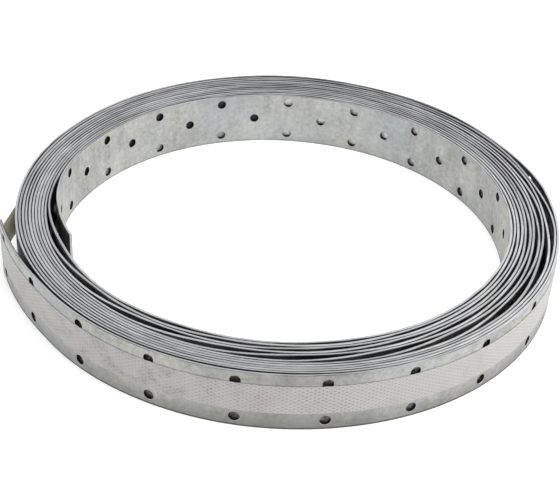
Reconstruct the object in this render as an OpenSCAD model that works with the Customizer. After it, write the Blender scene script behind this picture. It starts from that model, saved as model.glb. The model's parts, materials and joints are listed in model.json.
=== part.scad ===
// Perforated fixing strap: a length of galvanised steel strap with three rows of holes,
// wound into a loose coil, lying on its side edge and held shut by a band of tape.
// Millimetres, +Z up. z = 0 is the floor, the turns are wound about +Z, -Y is the front.

/* [Strap] */
// width of the strap, which is the height of the coil
strap_width = 30; // [26:0.5:40]
// thickness of the steel
strap_thickness = 1.2; // [0.8:0.1:1.5]
// length past the middle of the last hole, at the outer end
outer_end_margin = 9.5; // [6:0.5:18]
// length past the middle of the last hole, at the inner end
inner_end_margin = 8; // [6:0.5:18]

/* [Holes] */
// diameter of every hole
hole_diameter = 5; // [3:0.1:6]
// distance from hole to hole in one row, along the strap
hole_pitch = 39.2; // [34:0.05:46]
// distance between the two edge rows, middle to middle
edge_row_spacing = 20; // [16:0.5:22]
// how many hole pitches the strap is long
pitch_count = 241; // [60:1:260]

/* [Coil] */
// radius of the innermost turn, at the middle of the steel
inner_radius = 113.6; // [90:0.1:160]
// air between neighbouring turns, where they lie evenly
turn_gap = 0.66; // [0.6:0.01:1.5]
// how much more air there is between them at the back of the coil
back_slack = 0.5; // [0:0.05:1]
// how far the innermost turn is off centre
off_centre = 1.7; // [0:0.1:3]

/* [Steps that travel round the coil] */
// height of the main step, first made where a turn climbs over the inner end
step_height = 2.85; // [0:0.05:3]
// how far round the coil a step takes
step_run = 25.5; // [12:0.5:30]
// how much sooner each turn steps than the turn inside it
step_lead = 16.8; // [8:0.1:20]
// height of the first of the smaller steps that follow the main one
echo_height = 1.6; // [0:0.05:1.8]
// how far round the coil it is from one smaller step to the next
echo_spacing = 38.5; // [30:0.5:45]

/* [Free ends] */
// how far the inner end springs in from the coil
inner_spring = 4; // [0:0.5:8]
// how far round the coil the inner end is sprung
inner_spring_run = 18; // [12:1:30]
// how far the outer end springs out from the coil
outer_spring = 5.7; // [0:0.1:8]
// how far round the coil the outer end is sprung
outer_spring_run = 25; // [12:1:30]
// direction of the inner end, seen from the middle of the coil
inner_end_bearing = 203; // [0:1:359]

/* [Binding tape] */
// width of the tape
tape_width = 15; // [8:0.5:16]
// thickness of the tape
tape_thickness = 0.3; // [0.15:0.05:0.6]
// height of the tape's lower edge above the floor
tape_height = 9; // [8.5:0.1:11]
// how far round the coil the tape spans the gap behind the outer end
tape_bridge = 11; // [6:1:24]

/* [Hidden] */
// fineness of the holes
$fn = 24;

// the strap bends between flats, four to a hole pitch, so that each hole is in the middle of one
flats_per_pitch = 4;
flat = hole_pitch / flats_per_pitch;
flat_count = pitch_count * flats_per_pitch + flats_per_pitch / 2 + 1;
// the rows of holes: a pair at the edges, and one between them half a pitch along
edge_rows = [(strap_width - edge_row_spacing) / 2, (strap_width + edge_row_spacing) / 2];
middle_row = [strap_width / 2];
// how much further a hole's cutter reaches than the steel, on each side
overshoot = 0.05;
// air between the steel and the tape
glue = 0.05;
// the steps come round again after a little less than a turn
step_period = 360 - step_lead;
// turned through from the inner end to the middle of the first main step
first_step = 365;
// the smaller steps, and how much of its height each passes on to the next
echo_count = 6;
echo_decay = 0.66;
// side to which the innermost turn is off centre, and the middle of the slack at the back
off_centre_bearing = 266;
slack_bearing = 90;

// a place on the strap is given by how far the strap has turned from its inner end to there;
// from the inner end outwards it goes round clockwise
function bearing(turned) = inner_end_bearing - turned;

// 0 before -1, 1 after +1, and a smooth rise between
function rise(x) = (1 + sin(90 * max(-1, min(1, x)))) / 2;

// a step up of height 1 at 0 and a slow fall between, again and again
function saw(turned) =
  let (x = turned - step_period * floor(turned / step_period + 0.5))
  rise(2 * x / step_run) - x / step_period - 0.5;

// how far the steps lift or lower the strap, echo by echo
function echoes(turned, k = 1) = k > echo_count ? 0 :
  pow(echo_decay, k - 1) * saw(turned - first_step + k * echo_spacing) + echoes(turned, k + 1);
function ripple(turned) = step_height * saw(turned - first_step) + echo_height * echoes(turned);

// 1 in the middle of the slack at the back, fading to 0 at a quarter turn to either side
function slack(b) = pow(max(0, cos(b - slack_bearing)), 2);

// radius of the middle of the steel, before its ends spring away
function coiled_radius(turned) = inner_radius
  + off_centre * cos(bearing(turned) - off_centre_bearing)
  + (strap_thickness + turn_gap + back_slack * slack(bearing(turned))) * turned / 360
  + ripple(turned);

// how far the strap has turned at each bend, found one flat after another
stub_in = inner_end_margin - flat / 2;
stub_out = outer_end_margin - flat / 2;
bends = [for (i = 0, turned = 0; i <= flat_count + 2;
  turned = turned + (i == 0 ? stub_in : i == flat_count + 1 ? stub_out : flat)
    / coiled_radius(turned) * 180 / PI, i = i + 1) turned];
last = len(bends) - 1;

// how far the strap is sprung at some distance from an end: 1 at the end, 0 on the coil
function sprung(distance, run) = pow(max(0, 1 - distance / run), 1.3);

function radius(turned) = coiled_radius(turned)
  - inner_spring * sprung(turned, inner_spring_run)
  + outer_spring * sprung(bends[last] - turned, outer_spring_run);

// middle of the steel at each bend, seen from above
route = [for (turned = bends) radius(turned) * [cos(bearing(turned)), sin(bearing(turned))]];

// outward normal of the line from p to q, on a coil that goes round clockwise
function outward(p, q) = [p.y - q.y, q.x - p.x] / norm(q - p);

// a line of points moved outwards; before and after stand in for the neighbours of its ends
function moved_out(points, by, before, after) = let (n = len(points) - 1) [for (i = [0:n])
  points[i] + by * outward(i == 0 ? before : points[i - 1], i == n ? after : points[i + 1])];
function reversed(list) = [for (i = [len(list) - 1:-1:0]) list[i]];

inner_face = moved_out(route, -strap_thickness / 2, route[0], route[last]);
outer_face = moved_out(route, strap_thickness / 2, route[0], route[last]);

// the origin is in the middle of the coil's footprint
xs = [for (p = outer_face) p.x];
ys = [for (p = outer_face) p.y];
middle = [min(xs) + max(xs), min(ys) + max(ys)] / 2;

// cutter for the hole in the middle of flat i, at height z
module hole(i, z) {
  normal = outward(route[i], route[i + 1]);
  reach = strap_thickness / 2 + overshoot;
  start = (route[i] + route[i + 1]) / 2 - reach * normal;
  translate([start.x, start.y, z])
    rotate([0, 90, atan2(normal.y, normal.x)])
      cylinder(d = hole_diameter, h = 2 * reach);
}

module strap() {
  color("silver") translate([-middle.x, -middle.y, 0]) difference() {
    linear_extrude(strap_width) polygon(concat(inner_face, reversed(outer_face)));
    for (k = [0:pitch_count]) {
      for (z = middle_row) hole(1 + k * flats_per_pitch, z);
      for (z = edge_rows) hole(1 + (k + 0.5) * flats_per_pitch, z);
    }
  }
}

// the tape goes once round: from where it meets the turn inside, on the outermost turn,
// to the outer end, and from there straight back
tape_start = [for (i = [0:last]) if (bends[last] - bends[i] <= 360 - tape_bridge) i][0];
tape_line = [for (i = [tape_start:last]) outer_face[i]];
function tape_face(by) = moved_out(tape_line, by, outer_face[last], outer_face[tape_start]);

module binding_tape() {
  color("gainsboro") translate([-middle.x, -middle.y, tape_height])
    linear_extrude(tape_width) difference() {
      polygon(tape_face(glue + tape_thickness));
      polygon(tape_face(glue));
    }
}

strap();
binding_tape();
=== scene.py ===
"""A coil of galvanised perforated strap, bound with a band of filament tape, and its stage.

The strap is punched flat and then wound: Geometry Nodes lay out the hole stations along a straight
strap and bend the result along the coil's route. The route follows the same rule as the solids.
"""
import json
import logging
import math
from dataclasses import dataclass, fields
from enum import Enum
from typing import Callable, ClassVar, Iterator, Sequence, Union

import bpy
from mathutils import Matrix, Vector


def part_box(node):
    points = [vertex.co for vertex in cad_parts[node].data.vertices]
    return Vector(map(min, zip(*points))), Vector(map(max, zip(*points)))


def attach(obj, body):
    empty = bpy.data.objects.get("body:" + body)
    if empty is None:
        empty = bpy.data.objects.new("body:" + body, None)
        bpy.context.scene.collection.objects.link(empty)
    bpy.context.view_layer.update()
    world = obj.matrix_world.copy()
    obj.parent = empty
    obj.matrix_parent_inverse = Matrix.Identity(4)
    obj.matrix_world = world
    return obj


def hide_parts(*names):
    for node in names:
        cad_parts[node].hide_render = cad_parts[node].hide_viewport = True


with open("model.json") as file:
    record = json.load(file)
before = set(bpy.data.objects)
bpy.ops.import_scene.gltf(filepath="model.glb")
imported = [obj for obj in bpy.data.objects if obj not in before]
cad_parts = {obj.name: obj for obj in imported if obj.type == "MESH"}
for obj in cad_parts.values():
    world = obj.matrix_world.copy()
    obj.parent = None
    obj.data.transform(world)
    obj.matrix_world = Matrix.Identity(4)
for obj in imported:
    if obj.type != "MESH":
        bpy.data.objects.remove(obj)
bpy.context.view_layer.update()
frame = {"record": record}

LOG = logging.getLogger("coil")
MM = 0.001
FULL_TURN = 360.0
LOWER_LEFT = -0.75 * math.pi
SHARP_OVER = 30.0
ALMOST_NOTHING = 1e-9
FLAT_PLACE = "flat_place"
SHEARED = "sheared"
SLIT_EDGE = 1.0
HOLE_WALL = 0.5
BACKING = "adhesive_side"
WEAVE = "weave_cells"
WHITE = (1.0, 1.0, 1.0, 1.0)

Point = tuple[float, float, float]
Colour = tuple[float, float, float, float]
Ramp = tuple[float, float]
Loop = Sequence[tuple[float, float]]
Node, Socket = bpy.types.Node, bpy.types.NodeSocket
Thing, Material = bpy.types.Object, bpy.types.Material


def arithmetic(operation: str, first: bool = True) -> Callable[["Term", "Number"], "Term"]:
    """A method that joins a Term to another number by one Math node.

    Args:
        operation: the node's operation.
        first: whether the Term is the node's first number.

    Returns:
        The method.
    """
    def joined(term: "Term", other: "Number") -> "Term":
        """The node's result."""
        return term.maths(operation, other, first=first)

    return joined


class Term:
    """A number worked out by Math nodes, so that a sum in a node tree is written as it is read."""

    def __init__(self, tree: bpy.types.NodeTree, socket: Socket) -> None:
        """Wraps the output socket that carries the number."""
        self.tree, self.socket = tree, socket

    def maths(self, operation: str, *others: "Number", first: bool = True) -> "Term":
        """Adds one Math node.

        Args:
            operation: the node's operation.
            others: what goes with this number.
            first: whether this number is the node's first.

        Returns:
            The node's result.
        """
        node = self.tree.nodes.new("ShaderNodeMath")
        node.operation = operation
        values = (self, *others) if first else (*others, self)
        for socket, value in zip(node.inputs, values):
            feed(self.tree, value, socket)
        return Term(self.tree, node.outputs[0])

    __add__ = __radd__ = arithmetic("ADD")
    __sub__, __rsub__ = arithmetic("SUBTRACT"), arithmetic("SUBTRACT", first=False)
    __mul__ = __rmul__ = arithmetic("MULTIPLY")
    __truediv__ = arithmetic("DIVIDE")


Number = Union[float, Term]


def feed(tree: bpy.types.NodeTree, value: object, socket: Socket) -> None:
    """Gives a socket its value.

    Args:
        tree: the tree that the socket is in.
        value: a Term or an output, which is linked, or a plain default.
        socket: the input that gets it.
    """
    if isinstance(value, (Term, Socket)):
        tree.links.new(value.socket if isinstance(value, Term) else value, socket)
    else:
        socket.default_value = value


def linked(name: str, data: bpy.types.ID) -> Thing:
    """Makes an object and links it to the scene.

    Args:
        name: its name.
        data: its mesh, lamp or camera.

    Returns:
        The object.
    """
    thing = bpy.data.objects.new(name, data)
    bpy.context.scene.collection.objects.link(thing)
    return thing


def sine(degrees: Number) -> Number:
    """Sine of an angle.

    Args:
        degrees: the angle.

    Returns:
        Its sine.
    """
    if isinstance(degrees, Term):
        return degrees.maths("RADIANS").maths("SINE")
    return math.sin(math.radians(degrees))


def cosine(degrees: Number) -> Number:
    """Cosine of an angle.

    Args:
        degrees: the angle.

    Returns:
        Its cosine.
    """
    if isinstance(degrees, Term):
        return degrees.maths("RADIANS").maths("COSINE")
    return math.cos(math.radians(degrees))


def whole(value: Number) -> Number:
    """The whole number at or below a value."""
    return value.maths("FLOOR") if isinstance(value, Term) else math.floor(value)


def held(value: Number, low: float, high: float) -> Number:
    """Holds a value between two limits.

    Args:
        value: the value.
        low: the lower limit.
        high: the upper limit.

    Returns:
        The value, or the limit that it is past.
    """
    if isinstance(value, Term):
        return value.maths("MAXIMUM", low).maths("MINIMUM", high)
    return max(low, min(high, value))


def raised(value: Number, power: float) -> Number:
    """Raises a value to a power, with 0 for a negative value.

    Args:
        value: the value.
        power: the power.

    Returns:
        The raised value.
    """
    if isinstance(value, Term):
        return value.maths("MAXIMUM", 0.0).maths("POWER", power)
    return max(0.0, value) ** power


@dataclass(frozen=True)
class Winding:
    """How the strap is wound, by the same rule and sizes as the solids. Metres and degrees."""

    inner_radius: Number = 113.6 * MM
    off_centre: Number = 1.7 * MM
    off_centre_bearing: Number = 266.0
    steel: Number = 1.2 * MM
    turn_gap: Number = 0.66 * MM
    back_slack: Number = 0.5 * MM
    slack_bearing: Number = 90.0
    step_height: Number = 2.85 * MM
    step_run: Number = 25.5
    step_lead: Number = 16.8
    first_step: Number = 365.0
    echo_height: Number = 1.6 * MM
    echo_decay: Number = 0.66
    echo_spacing: Number = 38.5
    inner_spring: Number = 4.0 * MM
    inner_spring_run: Number = 18.0
    outer_spring: Number = 5.7 * MM
    outer_spring_run: Number = 25.0
    inner_end_bearing: Number = 203.0
    spring_curve: ClassVar[float] = 1.3
    echoes: ClassVar[int] = 6

    def saw(self, turned: Number) -> Number:
        """A step up of height 1 at 0 and a slow fall after it, again and again.

        Args:
            turned: how far the strap has turned since the middle of a step.

        Returns:
            The height, round a mean of 0.
        """
        period = FULL_TURN - self.step_lead
        x = turned - period * whole(turned / period + 0.5)
        rise = (1.0 + sine(90.0 * held(2.0 * x / self.step_run, -1.0, 1.0))) / 2.0
        return rise - x / period - 0.5

    def ripple(self, turned: Number) -> Number:
        """How far the travelling steps lift or lower the strap.

        Args:
            turned: how far the strap has turned since its inner end.

        Returns:
            The lift, in metres.
        """
        height, lift = self.echo_height, self.step_height * self.saw(turned - self.first_step)
        for echo in range(1, self.echoes + 1):
            lift = lift + height * self.saw(turned - self.first_step + echo * self.echo_spacing)
            height = height * self.echo_decay
        return lift

    def coiled_radius(self, turned: Number) -> Number:
        """Radius of the middle of the steel, before its ends spring away.

        Args:
            turned: how far the strap has turned since its inner end.

        Returns:
            The radius, in metres.
        """
        bearing = self.inner_end_bearing - turned
        slack = raised(cosine(bearing - self.slack_bearing), 2.0)
        each_turn = self.steel + self.turn_gap + self.back_slack * slack
        shift = self.off_centre * cosine(bearing - self.off_centre_bearing)
        return self.inner_radius + shift + each_turn * turned / FULL_TURN + self.ripple(turned)

    def radius(self, turned: Number, total: Number) -> Number:
        """Radius of the middle of the steel.

        Args:
            turned: how far the strap has turned since its inner end.
            total: how far it turns in all.

        Returns:
            The radius, in metres.
        """
        near_inner = raised(1.0 - turned / self.inner_spring_run, self.spring_curve)
        near_outer = raised(1.0 - (total - turned) / self.outer_spring_run, self.spring_curve)
        sprung = self.outer_spring * near_outer - self.inner_spring * near_inner
        return self.coiled_radius(turned) + sprung

    def length(self, start: float, end: float, total: float, steps: int = 360) -> float:
        """Length of strap between two turnings, in metres.

        Args:
            start: how far the strap has turned where the length starts.
            end: how far it has turned where the length ends.
            total: how far it turns in all.
            steps: how many short arcs the length is added up from.

        Returns:
            The length.
        """
        step = (end - start) / steps
        radii = (self.radius(start + step * (place + 0.5), total) for place in range(steps))
        return sum(radii) * math.radians(step)


@dataclass(frozen=True)
class Punching:
    """Where the holes are along the flat strap, in metres."""

    pitch: float = 39.2 * MM
    pitches: int = 241
    inner_margin: float = 8.0 * MM
    outer_margin: float = 9.5 * MM
    flats_per_pitch: int = 4

    @property
    def length(self) -> float:
        """Length of the whole strap."""
        return self.inner_margin + (self.pitches + 0.5) * self.pitch + self.outer_margin

    def turned(self, winding: Winding) -> float:
        """How far the whole strap turns, found one flat after another.

        Args:
            winding: how the strap is wound.

        Returns:
            The turning in degrees, from the inner end to the outer.
        """
        flat = self.pitch / self.flats_per_pitch
        count = self.pitches * self.flats_per_pitch + self.flats_per_pitch // 2 + 1
        turned = 0.0
        for step in (self.inner_margin - flat / 2, *[flat] * count, self.outer_margin - flat / 2):
            turned += math.degrees(step / winding.coiled_radius(turned))
        return turned


class Shell:
    """Collects the corners and faces of one mesh. Corners that fall together are shared."""

    APART = 1e-7

    def __init__(self) -> None:
        """Starts an empty shell."""
        self.corners: list[Point] = []
        self.found: dict[tuple[int, int, int], int] = {}
        self.faces: list[list[int]] = []
        self.sheared: list[float] = []

    def corner(self, point: Point) -> int:
        """Finds a corner, or adds it if it is new.

        Args:
            point: where it is.

        Returns:
            The corner's number.
        """
        key = tuple(round(value / self.APART) for value in point)
        if key not in self.found:
            self.found[key] = len(self.corners)
            self.corners.append(point)
        return self.found[key]

    def face(self, points: Sequence[Point], sheared: float = 0.0) -> None:
        """Adds one face.

        Args:
            points: its corners, anticlockwise seen from outside.
            sheared: SLIT_EDGE, HOLE_WALL, or 0 on the rolled faces.
        """
        self.faces.append([self.corner(point) for point in points])
        self.sheared.append(sheared)

    def made(self, name: str) -> Thing:
        """Makes the mesh and an object for it.

        Args:
            name: the object's name.

        Returns:
            The new object.
        """
        mesh = bpy.data.meshes.new(name)
        mesh.from_pydata(self.corners, [], self.faces)
        mask = mesh.attributes.new(SHEARED, "FLOAT", "FACE")
        mask.data.foreach_set("value", self.sheared)
        mesh.update()
        return linked(name, mesh)


@dataclass(frozen=True)
class StrapSection:
    """The strap's section and its holes, in metres. X runs along it, Y through it, Z across it."""

    width: float
    thickness: float
    hole_radius: float
    edge_inset: float
    slit_edge: float = 0.13 * MM
    hole_edge: float = 0.10 * MM
    hole_sides: int = 18

    @property
    def rows(self) -> tuple[float, float, float]:
        """Heights of the three rows of holes."""
        return self.edge_inset, self.width / 2, self.width - self.edge_inset

    @property
    def half_cell(self) -> float:
        """Half the length of strap that is meshed round a hole."""
        return self.width / 6

    def heights(self) -> list[float]:
        """Heights of the mesh lines that run along the rolled faces.

        Returns:
            The heights, from the lowest.
        """
        low, mid, high = self.rows
        return [self.slit_edge, low, self.width / 3, mid, self.width * 2 / 3, high,
                self.width - self.slit_edge]

    def profile(self) -> list[tuple[float, float]]:
        """The section's outline.

        Returns:
            Its (y, z) corners, once round from the lower left.
        """
        face, flush = self.thickness / 2, self.thickness / 2 - self.slit_edge
        up = [(face, z) for z in self.heights()]
        down = [(-face, z) for z in reversed(self.heights())]
        return [(-flush, 0.0), (flush, 0.0), *up, (flush, self.width), (-flush, self.width), *down]

    def sweep(self, shell: Shell, stations: Sequence[float], edges_only: bool = False) -> None:
        """Runs the section along the strap.

        Args:
            shell: what the faces go into.
            stations: places along the strap, in order.
            edges_only: leaves out the two rolled faces.
        """
        loop = self.profile()
        for start, end in zip(stations, stations[1:]):
            for (y0, z0), (y1, z1) in zip(loop, loop[1:] + loop[:1]):
                rolled = abs(y0 - y1) < ALMOST_NOTHING and abs(z0 - z1) > self.slit_edge
                if rolled and edges_only:
                    continue
                quad = [(start, y0, z0), (start, y1, z1), (end, y1, z1), (end, y0, z0)]
                shell.face(quad, 0.0 if rolled else SLIT_EDGE)

    def capped(self, shell: Shell, station: float, outer: bool) -> None:
        """Closes the strap where it is cut off.

        Args:
            shell: what the face goes into.
            station: place of the cut along the strap.
            outer: whether this is the end with the larger station.
        """
        loop = [(station, y, z) for y, z in self.profile()]
        shell.face(loop if outer else loop[::-1], SLIT_EDGE)

    def ring(self, height: float, radius: float) -> list[tuple[float, float]]:
        """A circle round a hole.

        Args:
            height: height of the hole's middle.
            radius: the circle's radius.

        Returns:
            Its (x, z) corners, anticlockwise from the lower left.
        """
        turn = 2 * math.pi / self.hole_sides
        angles = [LOWER_LEFT + turn * side for side in range(self.hole_sides)]
        return [(radius * math.cos(a), height + radius * math.sin(a)) for a in angles]

    def square(self, shell: Shell, low: float, mid: float, high: float) -> None:
        """Two rolled faces of a square without a hole.

        Args:
            shell: what the faces go into.
            low: height of the square's lower side.
            mid: height of its middle.
            high: height of its upper side.
        """
        for x0, x1 in ((-self.half_cell, 0.0), (0.0, self.half_cell)):
            for z0, z1 in ((low, mid), (mid, high)):
                for side in (1, -1):
                    y = side * self.thickness / 2
                    quad = [(x0, y, z0), (x0, y, z1), (x1, y, z1), (x1, y, z0)]
                    shell.face(quad[::side])

    def punched(self, shell: Shell, low: float, mid: float, high: float) -> None:
        """Two rolled faces with a hole through them, and the hole's wall.

        Args:
            shell: what the faces go into.
            low: height of the square's lower side.
            mid: height of the hole.
            high: height of the square's upper side.
        """
        half = self.half_cell
        border = [(-half, low), (0.0, low), (half, low), (half, mid),
                  (half, high), (0.0, high), (-half, high), (-half, mid)]
        rim = self.ring(mid, self.hole_radius + self.hole_edge)
        wall = self.ring(mid, self.hole_radius)
        face, lip = self.thickness / 2, self.thickness / 2 - self.hole_edge
        for side in (1, -1):
            for corners in zipped(border, rim, mid):
                shell.face([(x, side * face, z) for x, z in corners][::-side])
            for near in range(self.hole_sides):
                far = (near + 1) % self.hole_sides
                bevel = [(*rim[near], face), (*wall[near], lip), (*wall[far], lip),
                         (*rim[far], face)]
                shell.face([(x, side * y, z) for x, z, y in bevel][::side], HOLE_WALL)
        for near in range(self.hole_sides):
            far = (near + 1) % self.hole_sides
            (x0, z0), (x1, z1) = wall[near], wall[far]
            quad = [(x0, lip, z0), (x0, -lip, z0), (x1, -lip, z1), (x1, lip, z1)]
            shell.face(quad, HOLE_WALL)

    def cell(self, name: str, holed: Sequence[bool]) -> Thing:
        """A short stretch of strap round one hole station.

        Args:
            name: the object's name.
            holed: whether there is a hole in each of the three rows.

        Returns:
            The stretch, with the station at its origin.
        """
        shell, lines = Shell(), self.heights()
        self.sweep(shell, (-self.half_cell, 0.0, self.half_cell), edges_only=True)
        for row, hole in enumerate(holed):
            low, mid, high = lines[2 * row:2 * row + 3]
            (self.punched if hole else self.square)(shell, low, mid, high)
        return shell.made(name)

    def plain(self, name: str, length: float, parts: int, start_cut: bool = False,
              end_cut: bool = False) -> Thing:
        """A stretch of strap with no hole.

        Args:
            name: the object's name.
            length: how long it is.
            parts: how many pieces it is divided into.
            start_cut: whether the strap is cut off at its start.
            end_cut: whether the strap is cut off at its end.

        Returns:
            The stretch, which starts at its origin.
        """
        shell = Shell()
        self.sweep(shell, [length * part / parts for part in range(parts + 1)])
        if start_cut:
            self.capped(shell, 0.0, outer=False)
        if end_cut:
            self.capped(shell, length, outer=True)
        return shell.made(name)


def zipped(outer: Loop, inner: Loop, height: float) -> Iterator[Loop]:
    """Triangles between two loops round one hole.

    Args:
        outer: the outer loop, anticlockwise from the lower left.
        inner: the inner loop, anticlockwise from the lower left.
        height: height of the hole's middle.

    Yields:
        The corners of each triangle, anticlockwise.
    """
    a_little = 0.3  # keeps a corner at the lower left from being read as a full turn

    def swung(loop: Loop, place: int) -> float:
        """Angle from the lower left to a corner, counted on past a full turn.

        Args:
            loop: the loop that the corner is on.
            place: its number, which may be past the loop's end.

        Returns:
            The angle, in radians.
        """
        x, z = loop[place % len(loop)]
        angle = (math.atan2(z - height, x) - LOWER_LEFT + a_little) % (2 * math.pi)
        return angle + 2 * math.pi * (place // len(loop))

    a, b = 0, 0
    while a < len(outer) or b < len(inner):
        along_outer = b == len(inner) or (
            a < len(outer) and swung(outer, a + 1) <= swung(inner, b + 1))
        here, there = outer[a % len(outer)], inner[b % len(inner)]
        if along_outer:
            a += 1
            yield [here, outer[a % len(outer)], there]
        else:
            b += 1
            yield [here, inner[b % len(inner)], there]


class Nodes:
    """Writes nodes into one tree."""

    FAMILY = "ShaderNode"

    def __init__(self, tree: bpy.types.NodeTree) -> None:
        """Starts on a tree."""
        self.tree = tree

    def add(self, kind: str, settings: dict[str, object] | None = None, **inputs: object) -> Node:
        """Adds a node.

        Args:
            kind: the node's type, without the family's name if it starts with that.
            settings: properties to set on it.
            inputs: what each input gets, by name with underscores for spaces.

        Returns:
            The node.
        """
        node = self.tree.nodes.new(kind if kind.startswith("Shader") else self.FAMILY + kind)
        for name, value in (settings or {}).items():
            setattr(node, name, value)
        for name, value in inputs.items():
            wanted = name.replace("_", " ")
            feed(self.tree, value, next(s for s in node.inputs if s.name == wanted and s.enabled))
        return node

    def called(self, group: bpy.types.NodeTree, given: dict[str, object]) -> Node:
        """Adds a node for a group.

        Args:
            group: the group.
            given: what its inputs get, by name.

        Returns:
            The group node.
        """
        node = self.add("Group", {"node_tree": group})
        for name, value in given.items():
            feed(self.tree, value, node.inputs[name])
        return node

    def asks(self, kind: str, defaults: dict[str, object]) -> None:
        """Adds named inputs to a tree that is a group.

        Args:
            kind: their socket type, such as Float.
            defaults: their names, each with its default or None.
        """
        for name, value in defaults.items():
            socket = self.tree.interface.new_socket(name, in_out="INPUT",
                                                    socket_type=f"NodeSocket{kind}")
            if value is not None:
                socket.default_value = value

    def term(self, node: Node, output: str) -> Term:
        """One output of a node, as a number."""
        return Term(self.tree, node.outputs[output])

    def vector(self, x: Number, y: Number, z: Number) -> Socket:
        """Three numbers as one vector."""
        return self.add("ShaderNodeCombineXYZ", X=x, Y=y, Z=z).outputs[0]

    def split(self, vector: Socket) -> tuple[Term, Term, Term]:
        """The three numbers of a vector."""
        node = self.add("ShaderNodeSeparateXYZ", Vector=vector)
        return tuple(Term(self.tree, socket) for socket in node.outputs)


class Tree(Nodes):
    """Builds one Geometry Nodes tree."""

    FAMILY = "GeometryNode"

    def __init__(self, name: str) -> None:
        """Starts an empty tree with a geometry output.

        Args:
            name: the tree's name.
        """
        super().__init__(bpy.data.node_groups.new(name, "GeometryNodeTree"))
        self.tree.interface.new_socket("Geometry", in_out="OUTPUT",
                                       socket_type="NodeSocketGeometry")
        self.entry = self.tree.nodes.new("NodeGroupInput")
        self.exit = self.tree.nodes.new("NodeGroupOutput")

    def given(self, name: str) -> Term:
        """What a named input was given."""
        return self.term(self.entry, name)

    def read(self, kind: str) -> Socket:
        """What a node that has no inputs gives, such as InputPosition."""
        return self.add(kind).outputs[0]

    def through(self, kind: str, geometry: Socket, settings: dict[str, object] | None = None,
                **inputs: object) -> Socket:
        """Takes a geometry through one more node.

        Args:
            kind: the node's type, without GeometryNode.
            geometry: what goes in.
            settings: properties to set on the node.
            inputs: what its other inputs get.

        Returns:
            What comes out.
        """
        return self.add(kind, settings, Geometry=geometry, **inputs).outputs[0]

    def stored(self, geometry: Socket, name: str, kind: str, domain: str, value: object) -> Socket:
        """Stores a named attribute.

        Args:
            geometry: what it is stored on.
            name: its name.
            kind: its data type.
            domain: whether points or faces carry it.
            value: what is stored.

        Returns:
            The geometry with the attribute.
        """
        return self.through("StoreNamedAttribute", geometry, {"data_type": kind, "domain": domain},
                            Name=name, Value=value)

    def join(self, *pieces: Socket) -> Socket:
        """Joins geometries.

        Args:
            pieces: what is joined.

        Returns:
            The pieces as one.
        """
        node = self.add("JoinGeometry")
        for piece in pieces:
            self.tree.links.new(piece, node.inputs[0])
        return node.outputs[0]

    def leaves(self, geometry: Socket) -> None:
        """Sets what the tree gives out."""
        self.tree.links.new(geometry, self.exit.inputs["Geometry"])


def worn_as(name: str) -> str:
    """A field's name as an input's name."""
    return name.replace("_", " ").title()


def sizes_of(winding: Winding) -> dict[str, Number]:
    """The winding's sizes, by the names of the inputs that carry them."""
    return {worn_as(item.name): getattr(winding, item.name) for item in fields(Winding)}


class Route:
    """The line that the middle of the steel follows, as a Geometry Nodes group."""

    NAME = "coil_route"

    def __init__(self, winding: Winding) -> None:
        """Builds the group once.

        Args:
            winding: the sizes that the group's inputs start with.
        """
        self.passed_on = (*sizes_of(winding), "Total Turned", "Moved By")
        build = Tree(self.NAME)
        self.group = build.tree
        build.asks("Float", sizes_of(winding))
        build.asks("Float", dict.fromkeys(("Total Turned", "From Turned", "To Turned"), 0.0))
        build.asks("Int", {"Points": 100})
        build.asks("Vector", {"Moved By": None})
        rule = Winding(**{item.name: build.given(worn_as(item.name)) for item in fields(Winding)})
        points = build.add("ResampleCurve", Curve=build.read("CurvePrimitiveLine"),
                           Count=build.given("Points"))
        factor = build.term(build.add("SplineParameter"), "Factor")
        start, end = build.given("From Turned"), build.given("To Turned")
        turned = start + (end - start) * factor
        radius = rule.radius(turned, build.given("Total Turned"))
        bearing = rule.inner_end_bearing - turned
        here = build.vector(radius * cosine(bearing), radius * sine(bearing), 0.0)
        build.leaves(build.through("SetPosition", points.outputs[0], Position=here,
                                   Offset=build.given("Moved By")))

    def placed(self, build: Tree, start: Number, end: Number, count: Number) -> Socket:
        """Places the group in a tree that has the winding's inputs.

        Args:
            build: the tree.
            start: how far the strap has turned where the line starts.
            end: how far it has turned where the line ends.
            count: how many points the line has.

        Returns:
            The line.
        """
        node = build.called(self.group, {name: build.given(name) for name in self.passed_on}
                            | {"From Turned": start, "To Turned": end, "Points": count})
        return node.outputs[0]


@dataclass
class Wound:
    """What both pieces share: how the coil is wound and where it stands."""

    winding: Winding
    total: float
    moved: Vector

    def started(self, name: str) -> Tree:
        """Starts a tree that has the winding's named inputs.

        Args:
            name: the tree's name.

        Returns:
            The tree.
        """
        build = Tree(name)
        build.asks("Float", sizes_of(self.winding) | {"Total Turned": self.total})
        build.asks("Vector", {"Moved By": self.moved})
        return build


def wrapped(build: Tree, flat: Socket, line: Socket, length: Number, lift: Number = 0.0) -> Socket:
    """Bends flat geometry along a line: X runs along the line, Y outwards from it, Z up.

    Args:
        build: the tree.
        flat: the flat geometry.
        line: the curve, which goes round clockwise seen from above.
        length: length of the flat geometry, which is laid along the whole line.
        lift: how far up it is moved.

    Returns:
        The bent geometry.
    """
    x, y, z = build.split(build.read("InputPosition"))
    sample = build.add("SampleCurve", {"mode": "FACTOR"}, Curves=line, Factor=x / length)
    px, py, _ = build.split(sample.outputs["Position"])
    tx, ty, _ = build.split(sample.outputs["Tangent"])
    size = (tx * tx + ty * ty).maths("SQRT")
    here = build.vector(px - y * ty / size, py + y * tx / size, z + lift)
    return build.through("SetPosition", flat, Position=here)


def kept_flat(build: Tree, geometry: Socket) -> Socket:
    """Stores where each point is while the piece is still flat, for its finish to follow."""
    return build.stored(geometry, FLAT_PLACE, "FLOAT_VECTOR", "POINT", build.read("InputPosition"))


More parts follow.
